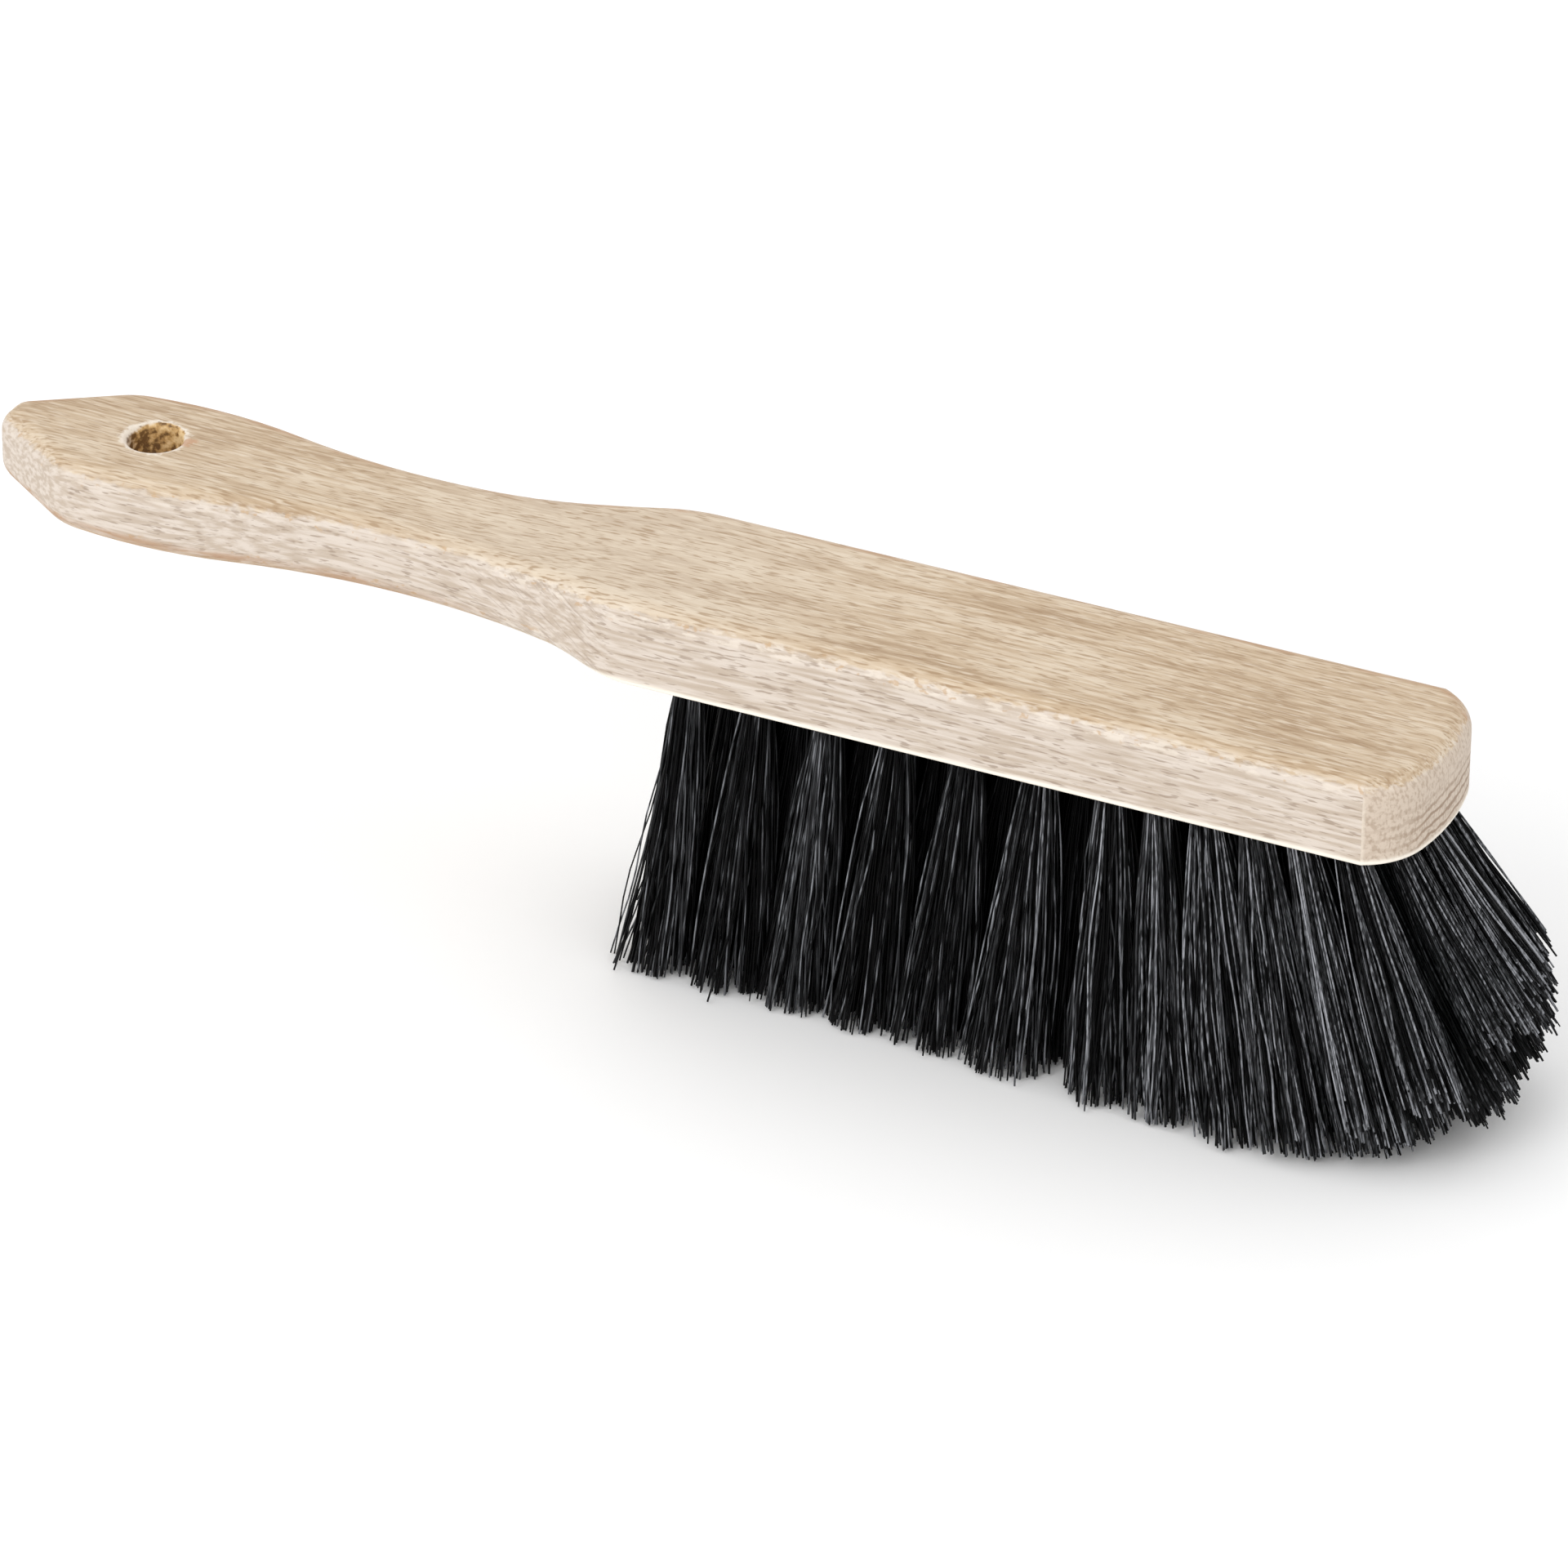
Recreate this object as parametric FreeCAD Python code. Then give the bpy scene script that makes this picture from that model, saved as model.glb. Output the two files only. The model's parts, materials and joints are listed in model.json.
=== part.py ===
import FreeCAD
import Part
import math
import os

# Hand broom: a one-piece beech stock, its head drilled from below for tufts of dark bristle.
# Each tuft is folded over a flat wire anchor that is driven across the bottom of its blind hole.
# Millimetres. X runs from the handle's end to the nose, Y is the width, Z is up from the bristle tips.

# Stock in plan
stock_length = 280.0
head_width = 39.0
end_width = 6.5
end_corner_radius = 4.0
taper_length = 18.0
taper_corner_radius = 14.0
bulge_at = 33.0
bulge_width = 33.6
bulge_radius = 90.0
neck_at = 82.0
neck_width = 22.8
shoulder_radius = 35.0
nose_bulge = 8.5
nose_middle_width = 20.0
nose_middle_radius = 50.0

# Stock from the side
stock_thickness = 16.0
handle_drop = 1.4
drop_at = 114.0
drop_length = 45.0
top_edge_radius = 4.0
handle_lower_radius = 5.0
head_lower_radius = 0.8
lower_fade_length = 9.0

# Hanging hole through the handle
hanging_hole_diameter = 10.0
hanging_hole_at = 30.2
hanging_rim_radius = 1.2

# Tuft holes, drilled into the underside of the head
tuft_hole_diameter = 5.0
tuft_hole_depth = 11.0
rear_tufts_from = 142.0
rear_pitch = 13.4
front_field = 56.6
front_pitch = 8.5
front_count = 5
outer_row_offset = 13.3
inner_row_offset = 6.6
inner_front_pitch = 11.6
inner_front_count = 4
centre_front_count = 3
nose_tuft_margin = 7.0
nose_side_margin = 8.6
nose_side_offset = 7.4
hole_lean_share = 0.35

# Bristles
bristle_length = 58.0
tuft_clearance = 0.05
tuft_neck_length = 2.5
tuft_sides = 16
tip_gap = 0.5
tip_radius_limit = 7.5
rear_lean = -5.0
nose_lean = 54.0
fan_length = 75.0
fan_power = 1.3
side_hold = 0.3
rear_spread = 1.12
front_spread = 1.64
nose_spread = 1.55
spread_power = 2.4
trim_reach = 19.0
trim_nose_radius = 18.0
trim_plan_radius = 28.0

# Flat wire anchors
anchor_thickness = 0.4
anchor_height = 2.0
anchor_bite = 0.5
fold_height = 2.4

# Values that follow from the sizes above
underside = bristle_length
top = underside + stock_thickness
handle_top = top - handle_drop
half_head = head_width / 2
fan_start = stock_length - front_field
rear_count = int((fan_start - rear_tufts_from) / rear_pitch) + 1
first_tuft_at = fan_start - (rear_count - 1) * rear_pitch
fan_begin = stock_length - fan_length
widest_at = fan_start + (front_count + 1) / 2 * front_pitch
nose_tuft_at = stock_length - nose_tuft_margin
overall_length = stock_length + trim_reach
tuft_radius = tuft_hole_diameter / 2 - tuft_clearance

# How far a cutting tool runs past the wood, and how closely an edge lies to where it is looked for
overrun = 1.0
tolerance = 0.01

Vector = FreeCAD.Vector


def mirrored(point):
    return Vector(point.x, -point.y, point.z)


def line(start, end):
    return Part.LineSegment(start, end).toShape()


def arc(start, middle, end):
    return Part.Arc(start, middle, end).toShape()


def on_circle(centre, radius, x, side):
    """Point of a circle at the given x, above its centre for side 1 and below it for side -1."""
    return Vector(x, centre.y + side * math.sqrt(radius ** 2 - (x - centre.x) ** 2), 0)


def stock_outline():
    """The stock in plan, as a wire, with four points of its left half that later steps look for."""
    end_corner = Vector(0, end_width / 2, 0)
    bulge_centre = Vector(bulge_at, bulge_width / 2 - bulge_radius, 0)
    taper_corner = on_circle(bulge_centre, bulge_radius, taper_length, 1)

    # The bulge and the hollow neck are two arcs that meet in one tangent point
    run = neck_at - bulge_at
    fall = (bulge_width - neck_width) / 2
    radii = (run ** 2 + fall ** 2) / (2 * fall)
    neck_radius = radii - bulge_radius
    meeting_x = bulge_at + run * bulge_radius / radii
    meeting = on_circle(bulge_centre, bulge_radius, meeting_x, 1)
    bulge_middle = on_circle(bulge_centre, bulge_radius, (taper_length + meeting_x) / 2, 1)
    neck = Vector(neck_at, neck_width / 2, 0)

    # The neck's arc turns into the rounded shoulder, and the shoulder into the head's straight side
    rise = half_head - neck_width / 2
    radii = neck_radius + shoulder_radius
    run = math.sqrt(2 * radii * rise - rise ** 2)
    shoulder_end = Vector(neck_at + run, half_head, 0)
    shoulder_centre = shoulder_end - Vector(0, shoulder_radius, 0)
    turn_x = neck_at + run * neck_radius / radii
    turn = on_circle(shoulder_centre, shoulder_radius, turn_x, 1)
    neck_centre = neck + Vector(0, neck_radius, 0)
    fade_start = on_circle(neck_centre, neck_radius, turn_x - lower_fade_length, -1)
    fade_middle = on_circle(neck_centre, neck_radius, turn_x - lower_fade_length / 2, -1)
    shoulder_middle = on_circle(shoulder_centre, shoulder_radius, (turn_x + shoulder_end.x) / 2, 1)

    # The nose is three tangent arcs between two crisp corners
    nose_corner = Vector(stock_length - nose_bulge, half_head, 0)
    nose_tip = Vector(stock_length, 0, 0)
    middle_angle = math.asin(nose_middle_width / 2 / nose_middle_radius)
    outward = Vector(math.cos(middle_angle), math.sin(middle_angle), 0)
    middle_end = nose_tip + (outward - Vector(1, 0, 0)) * nose_middle_radius
    chord = nose_corner - middle_end
    side_radius = -chord.dot(chord) / (2 * chord.dot(outward))
    side_centre = middle_end - outward * side_radius
    towards_middle = ((nose_corner + middle_end) * 0.5 - side_centre).normalize()
    side_middle = side_centre + towards_middle * side_radius

    left_half = [
        line(end_corner, taper_corner),
        arc(taper_corner, bulge_middle, meeting),
        arc(meeting, neck, fade_start),
        arc(fade_start, fade_middle, turn),
        arc(turn, shoulder_middle, shoulder_end),
        line(shoulder_end, nose_corner),
        arc(nose_corner, side_middle, middle_end),
    ]
    right_half = [edge.mirror(Vector(0, 0, 0), Vector(0, 1, 0)) for edge in left_half]
    end_face = line(mirrored(end_corner), end_corner)
    nose_middle = arc(middle_end, nose_tip, mirrored(middle_end))
    wire = Part.Wire(Part.__sortEdges__([end_face] + left_half + [nose_middle] + right_half))
    return wire, end_corner, taper_corner, fade_start, shoulder_end


def upright_edges(body, corner):
    """The body's two upright edges at a corner of its outline and at the corner's mirror image."""
    found = []
    for edge in body.Edges:
        box = edge.BoundBox
        upright = box.XLength < tolerance and box.YLength < tolerance
        at_corner = abs(box.XMin - corner.x) < tolerance and abs(abs(box.YMin) - corner.y) < tolerance
        if upright and at_corner:
            found.append(edge)
    return found


def rim_edges(faces):
    """Edges that only one of the faces has: the outer rim of a face or a row of faces."""
    rim = []
    for face in faces:
        for edge in face.Edges:
            shared = sum(1 for other in faces for rival in other.Edges if rival.isSame(edge))
            if shared == 1:
                rim.append(edge)
    return rim


def lower_radius(x, fade_x, shoulder_x):
    """Radius of the lower edges at x: full on the handle, fading on the flare to the head's eased edges."""
    faded = min(1.0, max(0.0, (x - fade_x) / (shoulder_x - fade_x)))
    return handle_lower_radius + (head_lower_radius - handle_lower_radius) * faded


def rounded_below(body, fade_x, shoulder_x):
    """The body with all its lower edges rounded."""
    document = FreeCAD.newDocument("stock")
    base = document.addObject("Part::Feature", "base")
    base.Shape = body
    radii = []
    for number, edge in enumerate(base.Shape.Edges, 1):
        box = edge.BoundBox
        if box.ZMax > underside + tolerance:
            continue
        back_radius = lower_radius(box.XMin, fade_x, shoulder_x)
        front_radius = lower_radius(box.XMax, fade_x, shoulder_x)
        if box.Center.y > 0:
            radii.append((number, back_radius, front_radius))
        else:
            radii.append((number, front_radius, back_radius))
    rounding = document.addObject("Part::Fillet", "rounding")
    rounding.Base = base
    rounding.Edges = radii
    document.recompute()
    return rounding.Shape.copy()


def drop_tool():
    """What is planed off the handle: a flat cut that runs up to the head's top in two tangent arcs."""
    drop_begin = drop_at - drop_length / 2
    drop_end = drop_at + drop_length / 2
    # An arc has covered a quarter of its rise halfway along, which is an eighth of the drop
    arc_rise = handle_drop / 8
    low = Vector(drop_begin, -head_width, handle_top)
    turn = Vector(drop_at, -head_width, handle_top + handle_drop / 2)
    high = Vector(drop_end, -head_width, top)
    low_middle = Vector((drop_begin + drop_at) / 2, -head_width, handle_top + arc_rise)
    high_middle = Vector((drop_at + drop_end) / 2, -head_width, top - arc_rise)
    above = Vector(drop_end, -head_width, top + stock_thickness)
    back_above = Vector(-stock_thickness, -head_width, top + stock_thickness)
    back_low = Vector(-stock_thickness, -head_width, handle_top)
    profile = Part.Wire([
        line(back_low, low),
        arc(low, low_middle, turn),
        arc(turn, high_middle, high),
        line(high, above),
        line(above, back_above),
        line(back_above, back_low),
    ])
    return Part.Face(profile).extrude(Vector(0, 2 * head_width, 0))


def stock_body():
    """The shaped stock with its hanging hole, before the tuft holes are drilled."""
    wire, end_corner, taper_corner, fade_start, shoulder_end = stock_outline()
    wire.translate(Vector(0, 0, underside))
    body = Part.Face(wire).extrude(Vector(0, 0, stock_thickness))
    body = body.makeFillet(end_corner_radius, upright_edges(body, end_corner))
    body = body.makeFillet(taper_corner_radius, upright_edges(body, taper_corner))
    body = rounded_below(body, fade_start.x, shoulder_end.x)
    body = body.cut(drop_tool())
    top_faces = [face for face in body.Faces if face.normalAt(0, 0).z > 0.9]
    body = body.makeFillet(top_edge_radius, rim_edges(top_faces))

    hole_base = Vector(hanging_hole_at, 0, underside - overrun)
    hole = Part.makeCylinder(hanging_hole_diameter / 2, stock_thickness + 2 * overrun, hole_base)
    body = body.cut(hole)
    reach = hanging_hole_diameter / 2 + tolerance
    rims = []
    for edge in body.Edges:
        box = edge.BoundBox
        inside = abs(box.XMin - hanging_hole_at) < reach and abs(box.XMax - hanging_hole_at) < reach
        if inside and box.ZLength < tolerance:
            rims.append(edge)
    return body.makeFillet(hanging_rim_radius, rims)


def tip_of(root):
    """Middle of a tuft's tips on the ground: the tufts lean back behind and fan out towards the nose."""
    ahead = max(0.0, (root.x - fan_begin) / (nose_tuft_at - fan_begin))
    hold = 1 - side_hold * (root.y / outer_row_offset) ** 2
    lean = rear_lean + nose_lean * hold * ahead ** fan_power
    return Vector(root.x + lean, root.y * spread_at(root.x), 0)


def spread_at(x):
    """How much wider apart the rows are at the tips than at the roots, for tufts that stand at x."""
    if x <= widest_at:
        share = (x - first_tuft_at) / (widest_at - first_tuft_at)
        return rear_spread + (front_spread - rear_spread) * share ** spread_power
    share = (x - widest_at) / (nose_tuft_at - widest_at)
    return front_spread + (nose_spread - front_spread) * share


def tuft_roots():
    """Name and place in the underside of every tuft, row by row from the handle to the nose."""
    rear = [first_tuft_at + index * rear_pitch for index in range(rear_count)]
    front = [fan_start + (index + 1) * front_pitch for index in range(front_count)]
    inner_rear = [x + rear_pitch / 2 for x in rear[:-1]]
    inner_start = fan_start + inner_front_pitch / 2
    inner_front = [inner_start + index * inner_front_pitch for index in range(inner_front_count)]
    centre_front = [fan_start + (index + 1) * inner_front_pitch for index in range(centre_front_count)]
    rows = [
        ("tuft_right_outer", rear + front, -outer_row_offset),
        ("tuft_left_outer", rear + front, outer_row_offset),
        ("tuft_right_inner", inner_rear + inner_front, -inner_row_offset),
        ("tuft_left_inner", inner_rear + inner_front, inner_row_offset),
        ("tuft_centre", rear + centre_front, 0.0),
        ("tuft_right_nose", [stock_length - nose_side_margin], -nose_side_offset),
        ("tuft_left_nose", [stock_length - nose_side_margin], nose_side_offset),
        ("tuft_centre_nose", [nose_tuft_at], 0.0),
    ]
    roots = []
    for row, places, offset in rows:
        for number, x in enumerate(places, 1):
            roots.append(("%s_%02d" % (row, number), Vector(x, offset, underside)))
    return roots


def tip_aspect(root):
    """Depth of a tuft's oval of tips for its length, so that staggered rows fill the ground evenly."""
    row_gap = inner_row_offset * spread_at(root.x)
    return min(1.0, row_gap / math.sqrt(3) / (rear_pitch / 2))


def tip_radius(tip, tips, aspect):
    """Half the way to the nearest other tip, measured with the oval's depth drawn out to its length."""
    nearest = 2 * tip_radius_limit + tip_gap
    for other in tips:
        if other is not tip:
            nearest = min(nearest, math.hypot(other.x - tip.x, (other.y - tip.y) / aspect))
    return (nearest - tip_gap) / 2


def hole_placement(root, tip):
    """Frame of a tuft hole: its origin in the mouth, its Z axis into the wood."""
    lean = Vector(root.x - tip.x, root.y - tip.y, 0) * hole_lean_share
    into_wood = lean + Vector(0, 0, bristle_length)
    return FreeCAD.Placement(root, FreeCAD.Rotation(Vector(0, 0, 1), into_wood))


def placed(shape, placement):
    return shape.transformed(placement.toMatrix())


def oval(centre, half_length, half_width):
    """Corners of a level ring whose sides touch an oval in evenly spaced directions.

    Rings of that kind have parallel sides, so flat faces join them. The ring is drawn in until the corners
    of a round one lie on its circle.
    """
    step = 2 * math.pi / tuft_sides
    points = []
    for number in range(tuft_sides):
        here = number * step
        ahead = here + step
        reach_here = math.hypot(half_length * math.cos(here), half_width * math.sin(here))
        reach_ahead = math.hypot(half_length * math.cos(ahead), half_width * math.sin(ahead))
        along = (reach_here * math.sin(ahead) - reach_ahead * math.sin(here)) / math.sin(step)
        across = (reach_ahead * math.cos(here) - reach_here * math.cos(ahead)) / math.sin(step)
        points.append(centre + Vector(along, across, 0) * math.cos(step / 2))
    return points


def flat_face(points):
    return Part.Face(Part.makePolygon(points + points[:1]))


def bundle_through(rings):
    """Solid with flat sides that runs through the rings, from the first to the last."""
    faces = [flat_face(rings[0]), flat_face(rings[-1])]
    for lower, upper in zip(rings, rings[1:]):
        for number in range(tuft_sides):
            faces.append(flat_face([lower[number - 1], lower[number], upper[number], upper[number - 1]]))
    bundle = Part.Solid(Part.Shell(faces))
    bundle.fix(tolerance, tolerance, tolerance)
    return bundle


def anchor_box(clearance):
    """An anchor across its hole, in the hole's frame, grown all round by a clearance."""
    length = tuft_hole_diameter + 2 * anchor_bite + 2 * clearance
    thickness = anchor_thickness + 2 * clearance
    height = anchor_height + 2 * clearance
    low = tuft_hole_depth - fold_height - anchor_height - clearance
    return Part.makeBox(thickness, length, height, Vector(-thickness / 2, -length / 2, low))


def trim_envelope():
    """Space that the shears leave: flat under the head, rounded up and rounded in plan at the nose."""
    low = -head_width
    front = overall_length
    start = Vector(0, low, 0)
    flat_end = Vector(front - trim_nose_radius, low, 0)
    slant = trim_nose_radius * (1 - math.sqrt(0.5))
    bend = Vector(front - slant, low, slant)
    bend_end = Vector(front, low, trim_nose_radius)
    front_top = Vector(front, low, top)
    back_top = Vector(0, low, top)
    profile = Part.Wire([
        line(start, flat_end),
        arc(flat_end, bend, bend_end),
        line(bend_end, front_top),
        line(front_top, back_top),
        line(back_top, start),
    ])
    from_the_side = Part.Face(profile).extrude(Vector(0, 2 * head_width, 0))
    nose_middle_at = front - trim_plan_radius
    behind = Part.makeBox(nose_middle_at, 2 * head_width, top, start)
    ahead = Part.makeCylinder(trim_plan_radius, top, Vector(nose_middle_at, 0, 0))
    return from_the_side.common(behind.fuse(ahead)).removeSplitter()


def tuft(tip, radius, aspect, placement, envelope):
    """A bundle that fills its hole, leaves it round and flares to its trimmed tips."""
    into_wood = placement.Rotation.multVec(Vector(0, 0, 1))
    tilted_rise = tuft_radius * math.tan(into_wood.getAngle(Vector(0, 0, 1)))
    fold_at = tuft_hole_depth - tuft_clearance - tilted_rise
    fold = oval(placement.Base + into_wood * fold_at, tuft_radius, tuft_radius)
    neck = oval(placement.Base - into_wood * tuft_neck_length, tuft_radius, tuft_radius)
    ends = oval(tip, radius, radius * aspect)
    bundle = bundle_through([ends, neck, fold])
    slot = placed(anchor_box(tuft_clearance), placement)
    return bundle.cut(slot).common(envelope)


def main():
    os.makedirs("parts", exist_ok=True)
    centring = Vector(-overall_length / 2, 0, 0)
    envelope = trim_envelope()
    roots = tuft_roots()
    tips = [tip_of(root) for name, root in roots]
    cuts = []
    anchors = []
    pieces = {}
    for (name, root), tip in zip(roots, tips):
        placement = hole_placement(root, tip)
        drill = Part.makeCylinder(tuft_hole_diameter / 2, tuft_hole_depth + tuft_neck_length,
                                  Vector(0, 0, -tuft_neck_length))
        cuts.append(placed(drill, placement))
        cuts.append(placed(anchor_box(tuft_clearance), placement))
        anchors.append(placed(anchor_box(0.0), placement))
        aspect = tip_aspect(root)
        pieces[name] = tuft(tip, tip_radius(tip, tips, aspect), aspect, placement, envelope)
    pieces["stock"] = stock_body().cut(cuts)
    pieces["tuft_anchors"] = Part.makeCompound(anchors)
    for name, piece in pieces.items():
        piece.translate(centring)
        piece.exportStep("parts/%s.step" % name)
    print(len(pieces), "nodes,", len(roots), "tufts")


main()
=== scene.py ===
import json

import bpy
import numpy as np
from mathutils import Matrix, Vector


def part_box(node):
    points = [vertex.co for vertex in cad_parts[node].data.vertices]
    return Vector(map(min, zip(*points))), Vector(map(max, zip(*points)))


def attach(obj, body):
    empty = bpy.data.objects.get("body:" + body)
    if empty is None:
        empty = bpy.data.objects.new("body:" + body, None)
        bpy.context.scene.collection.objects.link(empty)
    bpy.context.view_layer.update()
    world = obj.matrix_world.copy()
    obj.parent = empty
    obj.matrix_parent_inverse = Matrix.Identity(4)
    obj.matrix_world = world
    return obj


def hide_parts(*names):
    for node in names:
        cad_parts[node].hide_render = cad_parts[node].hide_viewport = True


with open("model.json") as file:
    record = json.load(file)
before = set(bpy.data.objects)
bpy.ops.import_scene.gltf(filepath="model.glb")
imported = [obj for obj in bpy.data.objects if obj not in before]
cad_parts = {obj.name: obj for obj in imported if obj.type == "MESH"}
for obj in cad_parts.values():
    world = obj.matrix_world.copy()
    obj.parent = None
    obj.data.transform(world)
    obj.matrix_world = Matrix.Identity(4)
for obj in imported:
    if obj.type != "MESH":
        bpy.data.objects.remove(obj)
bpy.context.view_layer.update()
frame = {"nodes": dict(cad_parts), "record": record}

# Beech stock.
# One board of raw beech that is handle and head at once: sawn to its outline, moulded round its edges,
# bored for hanging, sanded and left bare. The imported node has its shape, so it only gets its wood here.
stock_low, stock_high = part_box("stock")
handle_end = stock_low[0]
nose_end = stock_high[0]
right_side = stock_low[1]
underside = stock_low[2]
hole_mount = frame["record"]["mounts"][0]
hanging_hole_at = hole_mount["pos_m"][0]
hanging_hole_radius = hole_mount["dims"]["r_mm"] / 1000


def paint(red, green, blue):
    """A colour as a screen shows it, 0 to 255 a channel, as linear light by the standard sRGB curve."""
    shown = np.array([red, green, blue]) / 255
    linear = np.where(shown <= 0.04045, shown / 12.92, ((shown + 0.055) / 1.055) ** 2.4)
    return (*linear.tolist(), 1.0)


class Wire:
    """What one shader socket gives out. Arithmetic on it adds Math nodes to its material."""

    def __init__(self, finish, socket):
        self.finish = finish
        self.socket = socket

    def maths(self, operation, *values):
        """A Math node of this operation on the given values, which may be wires or plain numbers."""
        settings = {"operation": operation}
        return self.finish.node("ShaderNodeMath", settings, dict(enumerate(values)))["Value"]

    def __add__(self, other):
        return self.maths("ADD", self, other)

    def __radd__(self, other):
        return self.maths("ADD", other, self)

    def __sub__(self, other):
        return self.maths("SUBTRACT", self, other)

    def __rsub__(self, other):
        return self.maths("SUBTRACT", other, self)

    def __mul__(self, other):
        return self.maths("MULTIPLY", self, other)

    def __rmul__(self, other):
        return self.maths("MULTIPLY", other, self)

    def __pow__(self, other):
        return self.maths("POWER", self, other)

    def __neg__(self):
        return 0 - self

    def __abs__(self):
        return self.maths("ABSOLUTE", self)

    def rise(self, start, end):
        """0 below start and 1 above end, with a smooth step between them."""
        settings = {"interpolation_type": "SMOOTHSTEP"}
        inputs = {"Value": self, "From Min": start, "From Max": end}
        return self.finish.node("ShaderNodeMapRange", settings, inputs)["Result"]

    def fall(self, start, end):
        """1 below start and 0 above end, with a smooth step between them."""
        return 1 - self.rise(start, end)

    def band(self, start, full, until, end):
        """1 from full to until, and 0 below start and above end, with smooth steps between them."""
        return self.rise(start, full) * self.fall(until, end)


class Finish:
    """A material whose nodes are made one by one, ending in one Principled shader."""

    def __init__(self, name):
        self.material = bpy.data.materials.new(name)
        self.material.use_nodes = True
        self.tree = self.material.node_tree
        self.tree.nodes.clear()

    def node(self, kind, settings, inputs):
        """A node of this kind, set first and then fed by socket name or number, as its outputs by name."""
        made = self.tree.nodes.new(kind)
        for name, value in settings.items():
            if name == "stops":
                ramp = made.color_ramp
                while len(ramp.elements) < len(value):
                    ramp.elements.new(1.0)
                for element, (position, colour) in zip(ramp.elements, value):
                    element.position = position
                    element.color = colour
            else:
                setattr(made, name, value)
        sockets = [socket for socket in made.inputs if socket.enabled]
        numbers = {socket.name: number for number, socket in reversed(list(enumerate(sockets)))}
        for name, value in inputs.items():
            socket = sockets[numbers.get(name, name)]
            if isinstance(value, Wire):
                self.tree.links.new(value.socket, socket)
            else:
                socket.default_value = value
        return {socket.name: Wire(self, socket) for socket in made.outputs if socket.enabled}

    def mix(self, first, second, share, strength=1.0):
        """The first colour, turned by this strength into the second where share is 1."""
        inputs = {"Factor": share * strength, "A": first, "B": second}
        return self.node("ShaderNodeMix", {"data_type": "RGBA"}, inputs)["Result"]

    def ramp(self, share, *stops):
        """The colours of these stops, each given by its position and colour, as share passes them."""
        return self.node("ShaderNodeValToRGB", {"stops": stops}, {"Fac": share})["Color"]

    def noise(self, place, fineness, detail=2.0, shift=0.0, output="Fac"):
        """Noise with features 1 / fineness metres long on each axis, moved by shift on all three."""
        settings = {"operation": "MULTIPLY_ADD"}
        inputs = {0: place, 1: fineness, 2: (shift, shift, shift)}
        stretched = self.node("ShaderNodeVectorMath", settings, inputs)["Vector"]
        inputs = {"Vector": stretched, "Scale": 1.0, "Detail": detail}
        return self.node("ShaderNodeTexNoise", {}, inputs)[output]

    def shine(self, inputs):
        """The Principled shader with these inputs, led to the material's output."""
        surface = self.node("ShaderNodeBsdfPrincipled", {}, inputs)["BSDF"]
        self.node("ShaderNodeOutputMaterial", {}, {"Surface": surface})

    def cover(self, piece):
        """Puts the material on a piece, in place of what it had."""
        piece.data.materials.clear()
        piece.data.materials.append(self.material)


def distance(first, second):
    """How far a point lies from a middle, by its offsets from it in two directions."""
    return (first ** 2.0 + second ** 2.0) ** 0.5


beech = Finish("raw_beech")
place = beech.node("ShaderNodeTexCoord", {}, {})["Object"]
spot = beech.node("ShaderNodeSeparateXYZ", {}, {"Vector": place})
along = spot["X"]
across = spot["Y"]
height = spot["Z"]
normal = beech.node("ShaderNodeNewGeometry", {}, {})["Normal"]
facing = beech.node("ShaderNodeSeparateXYZ", {}, {"Vector": normal})
level = abs(facing["Z"])

# The grain runs along the board and wanders a little sideways
wander_reach = 0.005
wander = beech.noise(place, (9.0, 25.0, 25.0), output="Color")
grain = beech.node(
    "ShaderNodeVectorMath",
    {"operation": "MULTIPLY_ADD"},
    {0: wander, 1: (0.0, wander_reach, wander_reach), 2: place},
)["Vector"]
streak = beech.noise(grain, (85.0, 1300.0, 1300.0), detail=4.0)
cloud = beech.noise(grain, (25.0, 130.0, 130.0), detail=3.0, shift=3.0)
fleck = beech.noise(grain, (280.0, 2200.0, 2200.0), detail=1.0, shift=7.0).rise(0.53, 0.67)
painted_glint = beech.noise(grain, (200.0, 1900.0, 1900.0), detail=1.0, shift=29.0).rise(0.54, 0.70)
dash = beech.noise(grain, (280.0, 2300.0, 2300.0), detail=1.0, shift=11.0).rise(0.59, 0.68)

# The flat top: tan and paler on the neck, with fine streaks, short darker flecks and painted glints
# between
streak_share = 0.55
pale_from = handle_end + 0.06
pale_full = handle_end + 0.11
pale_until = handle_end + 0.13
pale_end = handle_end + 0.19
top_wood = beech.ramp(
    streak * streak_share + cloud * (1 - streak_share),
    (0.38, paint(170, 144, 114)),
    (0.50, paint(194, 172, 144)),
    (0.62, paint(211, 194, 171)),
)
pale_neck = along.band(pale_from, pale_full, pale_until, pale_end)
top_wood = beech.mix(top_wood, paint(213, 199, 180), pale_neck, strength=0.5)
top_wood = beech.mix(top_wood, paint(156, 127, 95), fleck, strength=0.7)
# Painted highlight: pale specks of painted glint mixed into the top's colour
top_wood = beech.mix(top_wood, paint(219, 204, 183), painted_glint, strength=0.6)

# The sides: paler and pinkish, with sparse grey-brown dashes where they run along the grain
along_grain = abs(facing["X"]).fall(0.10, 0.35)
side_wood = beech.mix(paint(184, 168, 151), paint(209, 197, 185), streak.rise(0.36, 0.64))
side_wood = beech.mix(side_wood, paint(150, 131, 114), dash * along_grain, strength=0.7)

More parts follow.
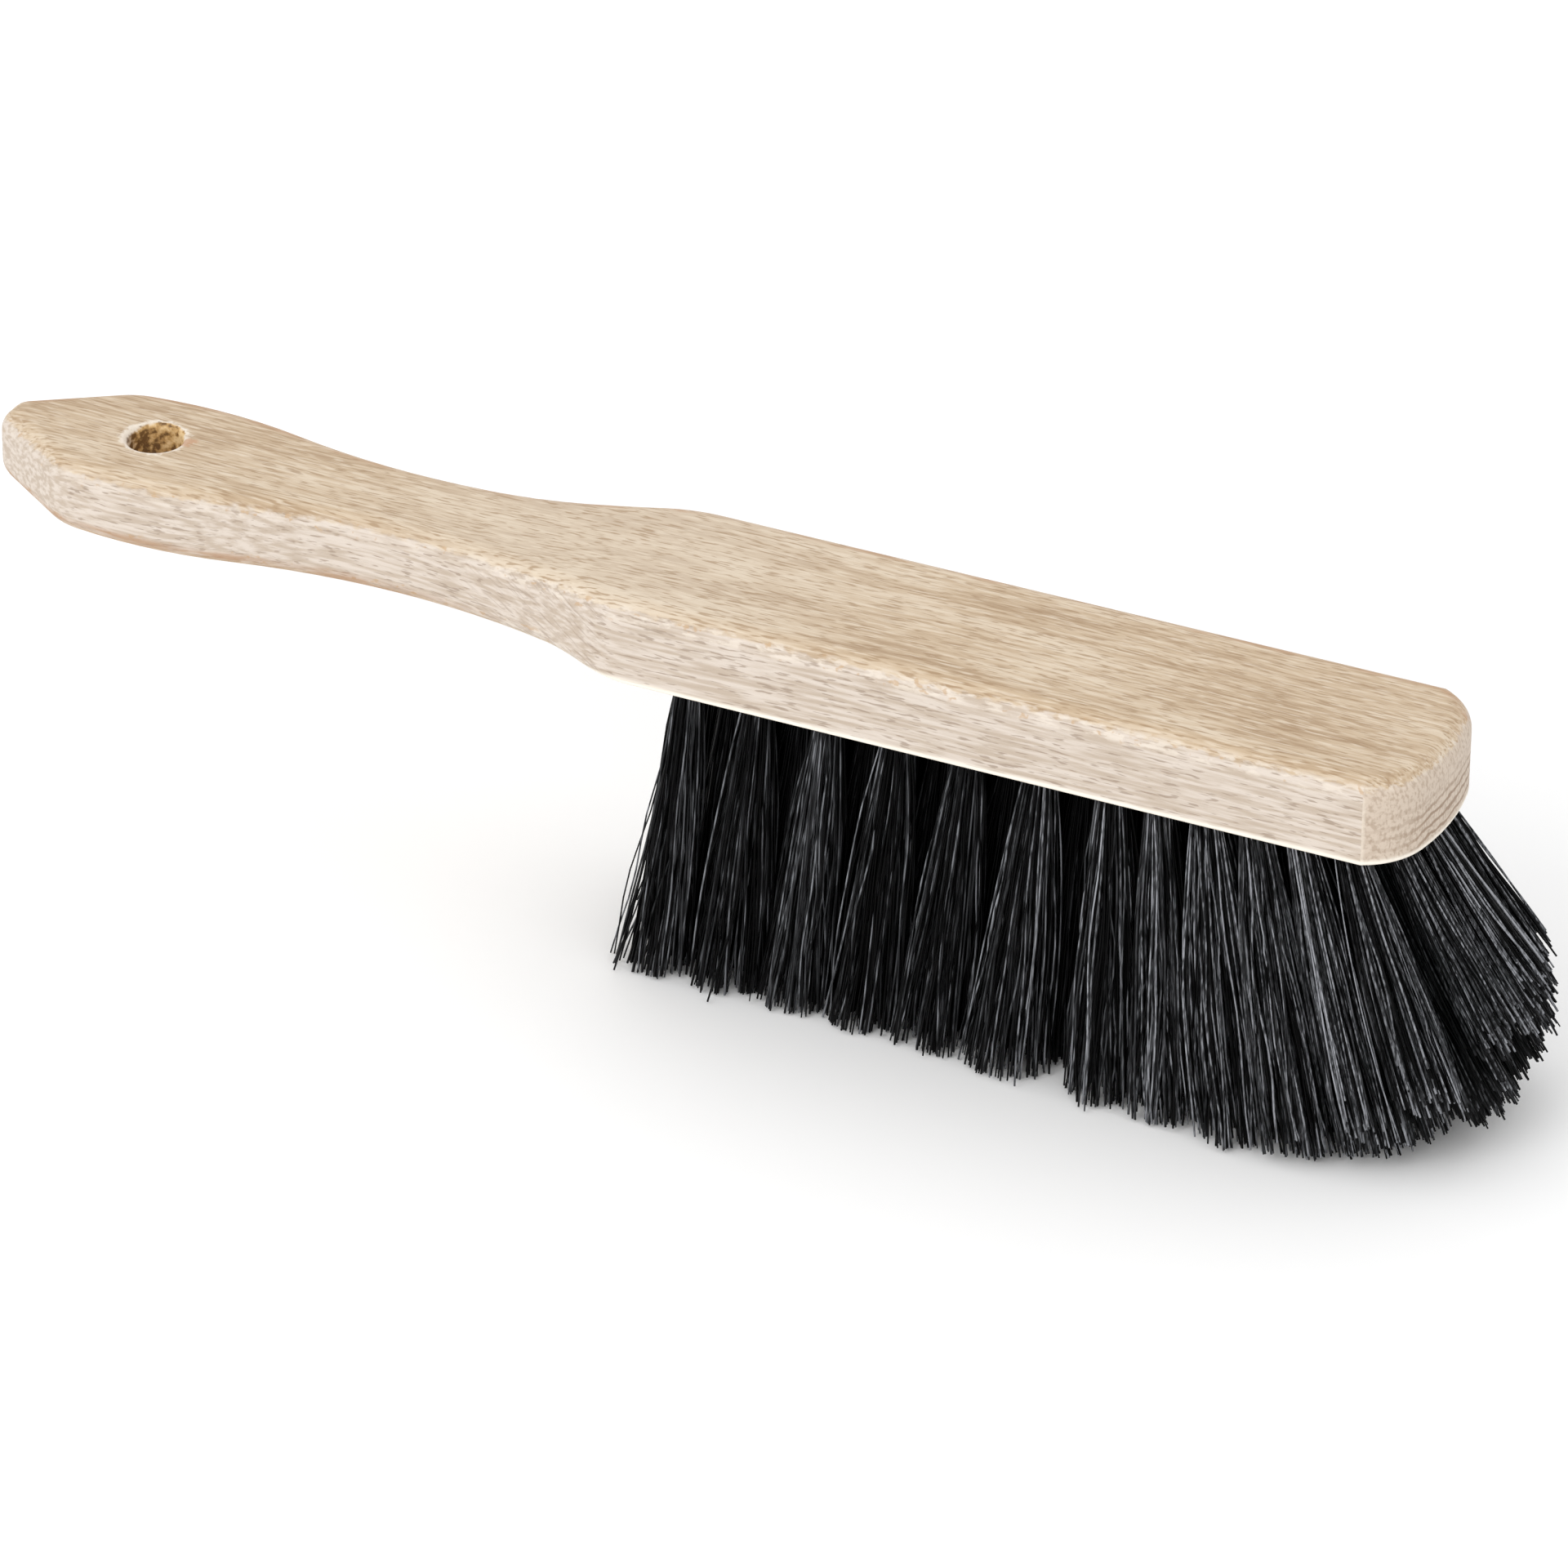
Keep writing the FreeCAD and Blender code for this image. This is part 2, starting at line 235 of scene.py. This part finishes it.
# Where the neck's flanks widen to the head, they cut the growth rings, which show as slanting lines
slant = np.radians(27)
flank_from = handle_end + 0.05
flank_full = handle_end + 0.07
slanted = beech.node("ShaderNodeCombineXYZ", {}, {
    "X": along * np.cos(slant) - height * np.sin(slant),
    "Y": across,
    "Z": along * np.sin(slant) + height * np.cos(slant),
})["Vector"]
flame = beech.noise(slanted, (220.0, 300.0, 1900.0), shift=41.0).rise(0.52, 0.66)
flank = (-facing["X"]).rise(0.06, 0.22) * along.rise(flank_from, flank_full)
side_wood = beech.mix(side_wood, paint(152, 133, 116), flame * flank, strength=0.5)

# Top and sides meet along a ragged line
side_raggedness = 0.6
ragged = beech.noise(place, (420.0, 900.0, 900.0), detail=4.0, shift=5.0) - 0.5
sideways = (level + ragged * side_raggedness).fall(0.50, 0.68)
wood = beech.mix(top_wood, side_wood, sideways)

# Torn fibres along the edges are pale in specks, less so on the handle, with a few amber chips
handle_gone = handle_end + 0.110
handle_until = handle_gone - 0.02
head_tear = 0.65
handle_tear = 0.30
on_handle = along.fall(handle_until, handle_gone)
tear = head_tear - on_handle * (head_tear - handle_tear)
turning = level.band(0.04, 0.30, 0.62, 0.85)
torn = beech.noise(place, (300.0, 900.0, 900.0), detail=4.0, shift=31.0).rise(0.49, 0.60)
wood = beech.mix(wood, paint(222, 211, 197), torn * turning * tear)
chipped = beech.noise(place, (500.0, 700.0, 700.0), shift=37.0).rise(0.62, 0.70)
wood = beech.mix(wood, paint(186, 152, 112), chipped * turning, strength=0.6)

# The left edges are browner in patches, and so are the handle's lower edges
left_brown = 0.15
left_patches = 0.45
lower_brown = 0.3
lower_patches = 0.4
patch = beech.noise(place, (60.0, 300.0, 300.0), shift=13.0).rise(0.46, 0.60)
left_edge = facing["Y"].band(0.02, 0.20, 0.60, 0.85)
wood = beech.mix(wood, paint(176, 134, 98), left_edge * (patch * left_patches + left_brown))
lower_edge = (-facing["Z"]).band(0.10, 0.45, 0.75, 0.95) * on_handle
wood = beech.mix(wood, paint(166, 122, 80), lower_edge * (patch * lower_patches + lower_brown))

# End grain on the nose: fine pores, and low down curved growth rings that fade towards the right side
full_turn = 2 * np.pi
ring_middle_across = 0.006
ring_middle_height = 0.020
ring_width = 0.0019
ring_flatness = 0.3
ring_wobble = 6.0
ring_jag = 4.0
right_rings = 0.2
left_rings = 0.85
faint_until = right_side + 0.002
strong_from = right_side + 0.012
rings_until = underside + 0.006
rings_end = underside + 0.012
nose_from = nose_end - 0.012
nose_full = nose_end - 0.010
nose_raggedness = 0.5
corner_core = right_side + 0.0001
corner_end = right_side + 0.0004
ring_reach = distance((across - ring_middle_across) * ring_flatness ** 0.5, height - ring_middle_height)
ring_phase = (
    ring_reach * (full_turn / ring_width)
    + beech.noise(place, (120.0, 150.0, 150.0), shift=17.0) * ring_wobble
    + beech.noise(place, (600.0, 600.0, 600.0), shift=43.0) * ring_jag
)
ring = ring_phase.maths("SINE", ring_phase).rise(0.0, 0.9) * height.fall(rings_until, rings_end)
pore = beech.noise(place, (900.0, 2000.0, 1100.0), shift=19.0).rise(0.44, 0.66)
end_wood = beech.mix(paint(202, 186, 169), paint(160, 139, 119), pore, strength=0.6)
ring_strength = across.rise(faint_until, strong_from) * (left_rings - right_rings) + right_rings
end_wood = beech.mix(end_wood, paint(142, 117, 94), ring * ring_strength)
on_nose = along.rise(nose_from, nose_full)
endways = facing["X"].rise(0.30, 0.38) * on_nose * (level + ragged * nose_raggedness).fall(0.45, 0.70)
wood = beech.mix(wood, end_wood, endways)
corner = endways * across.fall(corner_core, corner_end)
wood = beech.mix(wood, paint(224, 212, 196), corner, strength=0.6)

# The head's sanded lower edge is paler
arris_core = underside + 0.0006
arris_end = underside + 0.0016
arris = height.fall(arris_core, arris_end) * level.fall(0.96, 0.99) * (1 - on_handle)
wood = beech.mix(wood, paint(250, 243, 230), arris, strength=0.9)

# The bored hanging hole: a mottled wall with painted shade, inside a pale worn rim with a chip
rim_core = hanging_hole_radius + 0.0008
rim_end = hanging_hole_radius + 0.0017
rim_wear = 0.003
chip_ahead = 0.006
chip_aside = 0.001
chip_core = 0.001
chip_end = 0.002
chip_wear = 0.004
wall_core = hanging_hole_radius + 0.0003
wall_end = hanging_hole_radius + 0.0007
wall_wear = 0.0012
wall_aside = 0.0004
wall_narrowing = 1.08
wall_lightening = 20.0
hole_ahead = along - hanging_hole_at
mottle = beech.noise(place, (800.0, 800.0, 800.0), detail=3.0, shift=23.0)
wear = mottle - 0.5
rim = (distance(hole_ahead, across) + wear * rim_wear).fall(rim_core, rim_end)
wood = beech.mix(wood, paint(233, 224, 211), rim, strength=0.75)
chip_reach = distance(hole_ahead - chip_ahead, across - chip_aside) + wear * chip_wear
wood = beech.mix(wood, paint(186, 142, 108), chip_reach.fall(chip_core, chip_end), strength=0.8)
# Painted shade: the wall's mottled browns darken towards the rear of the hole, and reach onto the top at
# the far rim
bored_wood_and_painted_shade = beech.ramp(
    mottle + hole_ahead * wall_lightening,
    (0.36, paint(106, 74, 34)),
    (0.50, paint(188, 150, 94)),
    (0.64, paint(220, 190, 142)),
)
wall_reach = distance(hole_ahead * wall_narrowing, across - wall_aside) + wear * wall_wear
wood = beech.mix(wood, bored_wood_and_painted_shade, wall_reach.fall(wall_core, wall_end))

# Streaks and the specks of painted glint stand up a little from the surface, and flecks and dashes sink
# into it
grain_relief = streak * 0.5 + painted_glint * 0.2 - fleck * 0.4 - dash * along_grain * sideways * 0.5
beech_bump = {"Strength": 0.25, "Distance": 0.0003, "Height": grain_relief}
beech.shine({
    "Base Color": wood,
    "Roughness": streak * 0.15 + 0.52,
    "Normal": beech.node("ShaderNodeBump", {}, beech_bump)["Normal"],
})
beech.cover(frame["nodes"]["stock"])

# Tuft anchors.
# Short pieces of flat steel wire, one across the fold of each tuft, driven into the wood at both ends.
# They lie deep in the holes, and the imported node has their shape.
steel = Finish("anchor_steel")
steel_place = steel.node("ShaderNodeTexCoord", {}, {})["Object"]
drawn = steel.noise(steel_place, (300.0, 2500.0, 2500.0), detail=3.0)
steel_colour = steel.mix(paint(150, 152, 156), paint(190, 192, 196), drawn)
steel.shine({"Base Color": steel_colour, "Metallic": 1.0, "Roughness": drawn * 0.2 + 0.25})
steel.cover(frame["nodes"]["tuft_anchors"])

# Bristle tufts.
# Bundles of stiff black bristle, each folded round its anchor and driven into a leaning hole, then
# sheared level below the head and round in front of the nose. Each bristle is a thin bent rod.
rear_count = 7
rear_pitch = 0.0134
front_count = 5
front_pitch = 0.0085
front_field = 0.0566
inner_front_count = 4
inner_front_pitch = 0.0116
outer_offset = 0.0133
inner_offset = 0.0066
nose_inset = 0.007
nose_side_inset = 0.0086
nose_side_offset = 0.0074
front_start = nose_end - front_field
first_tuft = front_start - (rear_count - 1) * rear_pitch
nose_tuft_at = nose_end - nose_inset
nose_side_at = nose_end - nose_side_inset

rear = first_tuft + rear_pitch * np.arange(rear_count)
front = front_start + front_pitch * np.arange(1, front_count + 1)
inner_front = front_start + inner_front_pitch * (np.arange(inner_front_count) + 0.5)
centre_front = front_start + inner_front_pitch * np.arange(1, inner_front_count)
outer_row = np.concatenate([rear, front])
inner_row = np.concatenate([rear[:-1] + rear_pitch / 2, inner_front])
centre_row = np.concatenate([rear, centre_front])
tuft_rows = [
    ("tuft_right_outer", outer_row, -outer_offset),
    ("tuft_left_outer", outer_row, outer_offset),
    ("tuft_right_inner", inner_row, -inner_offset),
    ("tuft_left_inner", inner_row, inner_offset),
    ("tuft_centre", centre_row, 0.0),
    ("tuft_right_nose", np.array([nose_side_at]), -nose_side_offset),
    ("tuft_left_nose", np.array([nose_side_at]), nose_side_offset),
    ("tuft_centre_nose", np.array([nose_tuft_at]), 0.0),
]
tuft_names = [
    f"{row}_{number:02d}" for row, places, _ in tuft_rows for number in range(1, len(places) + 1)
]
tuft_roots = np.concatenate(
    [np.column_stack([places, np.full(len(places), side)]) for _, places, side in tuft_rows]
)
forward = tuft_roots[:, 0]
aside = tuft_roots[:, 1]

# How far the rows spread sideways towards their tips, growing to the widest place and then closing in
rear_spread = 1.12
front_spread = 1.64
nose_spread = 1.55
spread_power = 2.4
tip_swelling = 1.04
widest_at = front_start + (front_count + 1) / 2 * front_pitch
to_widest = (forward - first_tuft) / (widest_at - first_tuft)
past_widest = (forward - widest_at) / (nose_tuft_at - widest_at)
tuft_spread = np.where(
    forward <= widest_at,
    rear_spread + (front_spread - rear_spread) * np.maximum(to_widest, 0) ** spread_power,
    front_spread + (nose_spread - front_spread) * past_widest,
)

# How far each tuft leans: a little back behind, and more and more forward towards the nose
rear_lean = -0.005
nose_lean = 0.054
fan_field = 0.075
fan_power = 1.3
side_hold = 0.3
fan_begin = nose_end - fan_field
ahead = np.maximum(0, (forward - fan_begin) / (nose_tuft_at - fan_begin))
held = 1 - side_hold * (aside / outer_offset) ** 2
tuft_lean = rear_lean + nose_lean * held * ahead ** fan_power
tuft_tips = np.column_stack([forward + tuft_lean, aside * tuft_spread * tip_swelling])

# Each tuft's tips fill an oval that reaches past halfway to the next tuft, but is shorter on the rearmost
tip_reach_limit = 0.0155
tip_gap = 0.0005
fullness_along = 1.12
rearmost_fullness_along = 0.85
fullness_across = 1.35
rearmost = forward < first_tuft + rear_pitch / 4
tip_aspect = np.minimum(1, inner_offset * tuft_spread / np.sqrt(3) / (rear_pitch / 2))
apart = tuft_tips[:, None] - tuft_tips[None, :]
spacing = np.hypot(apart[:, :, 0], apart[:, :, 1] / tip_aspect[:, None])
np.fill_diagonal(spacing, tip_reach_limit)
tip_radius = (np.minimum(spacing.min(axis=1), tip_reach_limit) - tip_gap) / 2
fullness = np.where(rearmost, rearmost_fullness_along, fullness_along)
half_sizes = tip_radius[:, None] * np.column_stack([fullness, fullness_across * tip_aspect])

# Towards the nose tips gather into tighter locks of uneven length, and the rearmost tufts stray most
rear_gathering = 0.4
nose_gathering = 0.8
rear_unevenness = 0.005
nose_unevenness = 0.070
nose_power = 3
stray_share = 0.05
rearmost_stray_share = 0.185
rearmost_straying = 0.0045
towards_nose = np.minimum(1, ahead) ** nose_power
gathering = rear_gathering + (nose_gathering - rear_gathering) * towards_nose
unevenness = rear_unevenness + (nose_unevenness - rear_unevenness) * towards_nose
stray_shares = np.where(rearmost, rearmost_stray_share, stray_share)
straying = np.where(rearmost, rearmost_straying, 0)

# Painted light and shade: outer tufts and those at the nose are painted lighter, and inner tufts darker
inner_painted_lightness = 0.45
nose_painted_light = 0.4
nose_sharpness = 8
outermost = np.maximum(np.abs(aside) / outer_offset, ahead ** nose_sharpness)
painted_lightness = (inner_painted_lightness + (1 - inner_painted_lightness) * outermost ** 2) * (1 + nose_painted_light * ahead)

shear_overhang = 0.0205
shear_radius = 0.018
shear_plan_radius = 0.028
shear_front = nose_end + shear_overhang


def past_shears(points):
    """How far points lie outside the shears' cut: below the floor, or past its round nose.

    In plan the nose is a half circle, and from the side it turns up in a quarter circle."""
    off_middle = np.minimum(np.abs(points[..., 1]), shear_plan_radius)
    furthest = shear_front - shear_plan_radius + np.sqrt(shear_plan_radius ** 2 - off_middle ** 2)
    beyond = np.maximum(points[..., 0] - (furthest - shear_radius), 0)
    beneath = np.maximum(shear_radius - points[..., 2], 0)
    return np.where(beyond > 0, np.hypot(beyond, beneath) - shear_radius, -points[..., 2])


bristles_per_tuft = 170
bristle_rings = 11
bundle_radius = 0.0023
bundle_bury = 0.003
golden_turn = np.pi * (3 - 5 ** 0.5)
tip_scatter = 0.0004
lock_count = 14
least_gathering = 0.05
lock_taper = 0.4
bristle_shortening = 0.005
tuft_shortening = 0.003
stray_scatter = 0.0018
bow_scatter = 0.0007
wave_scatter = 0.00035
fewest_waves = 1.0
most_waves = 2.5
wave_onset = 3
flare_power = 1.2
lean_bend = 0.15
stray_power = 2
cut_steps = 49
cut_slack = 1e-7


def bristle_paths(tuft, draw):
    """The middle lines of one tuft's bristles, as an array of bristles by rings by three.

    Bristles start on a sunflower spiral in the hole, and end on the same spiral drawn as wide as the
    tips' oval, gathered into locks. Between the two they flare a little faster at first."""
    count = bristles_per_tuft
    number = np.arange(count)
    turn = golden_turn * number + draw.uniform(0, full_turn)
    disc = np.sqrt((number + 0.5) / count)[:, None] * np.column_stack([np.cos(turn), np.sin(turn)])
    at_root = disc * bundle_radius
    at_tip = disc * half_sizes[tuft] + draw.normal(0, tip_scatter, (count, 2))

    # Tips gather into locks, each sheared a little differently and longest in its middle
    locks = at_tip[draw.choice(count, lock_count, replace=False)]
    from_lock = np.linalg.norm(at_tip[:, None] - locks[None, :], axis=2)
    own_lock = from_lock.argmin(axis=1)
    lock_edge = from_lock.min(axis=1) / half_sizes[tuft].mean() * np.sqrt(lock_count)
    gather = draw.uniform(least_gathering, gathering[tuft], lock_count)[own_lock, None]
    at_tip = at_tip + (locks[own_lock] - at_tip) * gather
    short = draw.uniform(0, unevenness[tuft], lock_count)[own_lock]
    short = short + lock_edge * unevenness[tuft] * lock_taper
    short = short + np.abs(draw.normal(0, bristle_shortening, count)) + draw.uniform(0, tuft_shortening)

    # A few bristles stray, and each bows and waves in its own way
    stray = draw.random(count) < stray_shares[tuft]
    away = draw.normal(0, stray_scatter, (count, 2))
    away[:, 0] -= np.abs(draw.normal(0, straying[tuft], count))
    away = stray[:, None] * away
    bow = draw.normal(0, bow_scatter, (count, 2))
    wave_size = draw.normal(0, wave_scatter, (count, 1, 2))
    waves = draw.uniform(fewest_waves, most_waves, (count, 1))
    wave_start = draw.uniform(0, full_turn, (count, 1))

    def follow(share):
        """Points at these shares of the way from hole to floor, one row of shares per bristle."""
        flare = 1 - (1 - share) ** flare_power
        lean = share * (1 - lean_bend + lean_bend * share)
        swing = np.sin(np.pi * share)
        wave = np.minimum(1, wave_onset * share) * np.sin(full_turn * waves * share + wave_start)
        plan = (
            tuft_roots[tuft]
            + at_root[:, None] * (1 - flare[:, :, None])
            + (tuft_tips[tuft] - tuft_roots[tuft]) * lean[:, :, None]
            + at_tip[:, None] * flare[:, :, None]
            + away[:, None] * (share ** stray_power)[:, :, None]
            + bow[:, None] * swing[:, :, None]
            + wave_size * wave[:, :, None]
        )
        above_floor = (underside + bundle_bury) * (1 - share)
        return np.concatenate([plan, above_floor[:, :, None]], axis=2)

    # Each bristle is cut where it first leaves the shears' shape, and a little shorter at random
    share = np.linspace(0, 1, cut_steps)
    outside = past_shears(follow(np.tile(share, (count, 1)))) > cut_slack
    cut = np.where(outside.any(axis=1), share[np.maximum(outside.argmax(axis=1) - 1, 0)], 1.0)
    return follow((cut - short)[:, None] * np.linspace(0, 1, bristle_rings))


bristle_sides = 4
map_columns = 43
map_rows = 4
map_margin = 0.06


def bristle_map(count):
    """Places on a square map for the corners of every face of this many rods, walls first, then ends.

    Each rod has a cell of its own in a grid. Its walls lie side by side in the middle of the cell, from
    the root at the bottom to the tip at the top, and its two ends lie below and above them."""
    corner_right = np.array([0, 1, 1, 0])
    corner_up = np.array([0, 0, 1, 1])
    lengths = bristle_rings - 1
    walls = np.empty((lengths, bristle_sides, 4, 2))
    walls[..., 0] = (np.arange(bristle_sides)[:, None] + corner_right) / bristle_sides
    walls[..., 1] = ((np.arange(lengths)[:, None] + corner_up) / lengths)[:, None]
    walls = map_margin + (1 - 2 * map_margin) * walls
    ends = np.empty((2, 4, 2))
    ends[..., 0] = map_margin + (1 - 2 * map_margin) * corner_right
    ends[0, :, 1] = corner_up * map_margin / 2
    ends[1, :, 1] = 1 - corner_up * map_margin / 2
    cell = np.column_stack([np.arange(count) % map_columns, np.arange(count) // map_columns])
    walls = cell[:, None, None, None] + walls
    ends = cell[:, None, None] + ends
    return np.concatenate([walls.reshape(-1, 2), ends.reshape(-1, 2)]) / (map_columns, map_rows)


bristle_radius = 0.00018
thinnest = 0.8
thickest = 1.2


def bristle_rods(name, paths, painted_lightest, draw):
    """A mesh of thin four-sided rods round these paths, closed at both ends, each with its own tone and
    painted light.
    """
    count, rings, sides = len(paths), bristle_rings, bristle_sides
    heading = np.gradient(paths, axis=1)
    heading /= np.linalg.norm(heading, axis=2, keepdims=True)
    first = np.cross(heading, (0.0, 1.0, 0.0))
    first /= np.linalg.norm(first, axis=2, keepdims=True)
    second = np.cross(heading, first)
    angle = full_turn * np.arange(sides) / sides + draw.uniform(0, full_turn, (count, 1))
    radius = bristle_radius * draw.uniform(thinnest, thickest, (count, 1, 1, 1))
    outward = (
        first[:, :, None] * np.cos(angle)[:, None, :, None]
        + second[:, :, None] * np.sin(angle)[:, None, :, None]
    )
    points = paths[:, :, None] + radius * outward

    vertex = np.arange(count * rings * sides).reshape(count, rings, sides)
    turned = np.roll(vertex, -1, axis=2)
    walls = np.stack([vertex[:, :-1], turned[:, :-1], turned[:, 1:], vertex[:, 1:]], axis=3)
    ends = np.stack([vertex[:, 0, ::-1], vertex[:, -1]], axis=1)
    faces = np.concatenate([walls.reshape(-1, sides), ends.reshape(-1, sides)])

    mesh = bpy.data.meshes.new(name)
    mesh.vertices.add(vertex.size)
    mesh.vertices.foreach_set("co", points.ravel())
    mesh.loops.add(faces.size)
    mesh.loops.foreach_set("vertex_index", faces.ravel())
    mesh.polygons.add(len(faces))
    mesh.polygons.foreach_set("loop_start", np.arange(0, faces.size, sides))
    mesh.polygons.foreach_set("use_smooth", np.ones(len(faces), dtype=bool))
    # Each bristle's tone is random, scaled by its tuft's painted light and shade
    shade = np.broadcast_to(painted_lightest * draw.random((count, 1, 1)), vertex.shape).astype(np.float32)
    mesh.attributes.new("shade", "FLOAT", "POINT").data.foreach_set("value", shade.ravel())
    mesh.update(calc_edges=True)
    bake_map = mesh.uv_layers.new(name="OFBake", do_init=False)
    bake_map.uv.foreach_set("vector", bristle_map(count).ravel().astype(np.float32))
    mesh.validate()
    return mesh


black = Finish("black_bristle")
# Painted light: each bristle's tone is broken along its length by a painted sheen, and its pale greys are
# partly painted highlight
tone_and_painted_light = black.node("ShaderNodeAttribute", {"attribute_name": "shade"}, {})["Fac"]
black_place = black.node("ShaderNodeTexCoord", {}, {})["Object"]
painted_sheen = black.noise(black_place, (1800.0, 1800.0, 110.0)).rise(0.35, 0.65)
black_colour = black.ramp(
    tone_and_painted_light * (painted_sheen * 0.34 + 0.64),
    (0.0, paint(1, 1, 1)),
    (0.38, paint(10, 10, 11)),
    (0.66, paint(60, 61, 63)),
    (1.0, paint(150, 152, 157)),
)
black.shine({
    "Base Color": black_colour,
    "Roughness": tone_and_painted_light * 0.15 + 0.35,
    "Specular IOR Level": 0.08,
})

for tuft, name in enumerate(tuft_names):
    draw = np.random.default_rng(tuft)
    paths = bristle_paths(tuft, draw)
    piece = bpy.data.objects.new(f"{name}_bristles", bristle_rods(name, paths, painted_lightness[tuft], draw))
    black.cover(piece)
    bpy.context.scene.collection.objects.link(piece)
    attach(piece, "root")
    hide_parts(name)

# Floor, light and camera.
# A plain white floor under soft light from all round and a large lamp on the camera's side, and a long
# lens that looks down on the right side of the broom from in front of it.
floor_half = 4.0
floor_white = 0.96
floor_corners = floor_half * np.array([(-1, -1, 0), (1, -1, 0), (1, 1, 0), (-1, 1, 0)])
floor_mesh = bpy.data.meshes.new("floor")
floor_mesh.from_pydata(floor_corners.tolist(), [], [(0, 1, 2, 3)])
floor = bpy.data.objects.new("floor", floor_mesh)
white = Finish("white_floor")
white.shine({"Base Color": (floor_white, floor_white, floor_white, 1.0), "Roughness": 0.8})
white.cover(floor)
bpy.context.scene.collection.objects.link(floor)

sky_strength = 1.05
world = bpy.data.worlds.new("studio")
world.use_nodes = True
sky = world.node_tree.nodes["Background"]
sky.inputs["Color"].default_value = (1.0, 1.0, 1.0, 1.0)
sky.inputs["Strength"].default_value = sky_strength
bpy.context.scene.world = world
bpy.context.scene.view_settings.view_transform = "Standard"


def stand(name, data, right, up, back, place):
    """An object in the scene at this place, with its own axes pointing right, up and back."""
    pose = np.eye(4)
    pose[:3] = np.column_stack([right, up, back, place])
    made = bpy.data.objects.new(name, data)
    made.matrix_world = pose.T.tolist()
    bpy.context.scene.collection.objects.link(made)
    return made


lens_azimuth = np.radians(25.3815)
lens_elevation = np.radians(30.5077)
lens_roll = np.radians(0.4687)
lens_distance = 1.7098678
lens_pixels = 12005.4786
frame_pixels = 1920
sensor_width = 36.0
view_depth = 20.0
aim_along = 0.140
aim_above = 0.008
aim_right = 0.0134013
aim_up = -0.0312594
back = np.array([
    np.sin(lens_azimuth) * np.cos(lens_elevation),
    -np.cos(lens_azimuth) * np.cos(lens_elevation),
    np.sin(lens_elevation),
])
right = np.array([np.cos(lens_azimuth), np.sin(lens_azimuth), 0.0])
up = np.cross(back, right)
aim = np.array([handle_end + aim_along, 0.0, underside + aim_above]) + aim_right * right + aim_up * up
rolled_right = np.cos(lens_roll) * right + np.sin(lens_roll) * up
rolled_up = np.cos(lens_roll) * up - np.sin(lens_roll) * right
camera_data = bpy.data.cameras.new("camera")
camera_data.sensor_width = sensor_width
camera_data.lens = lens_pixels / frame_pixels * sensor_width
camera_data.clip_end = view_depth
camera_place = aim + back * lens_distance
bpy.context.scene.camera = stand("camera", camera_data, rolled_right, rolled_up, back, camera_place)

lamp_size = 1.2
lamp_power = 10.0
lamp_place = np.array([-0.3, -1.5, 1.0])
lamp_back = lamp_place / np.linalg.norm(lamp_place)
lamp_right = np.cross((0.0, 0.0, 1.0), lamp_back)
lamp_right /= np.linalg.norm(lamp_right)
lamp_data = bpy.data.lights.new("lamp", "AREA")
lamp_data.shape = "DISK"
lamp_data.size = lamp_size
lamp_data.energy = lamp_power
stand("lamp", lamp_data, lamp_right, np.cross(lamp_back, lamp_right), lamp_back, lamp_place)
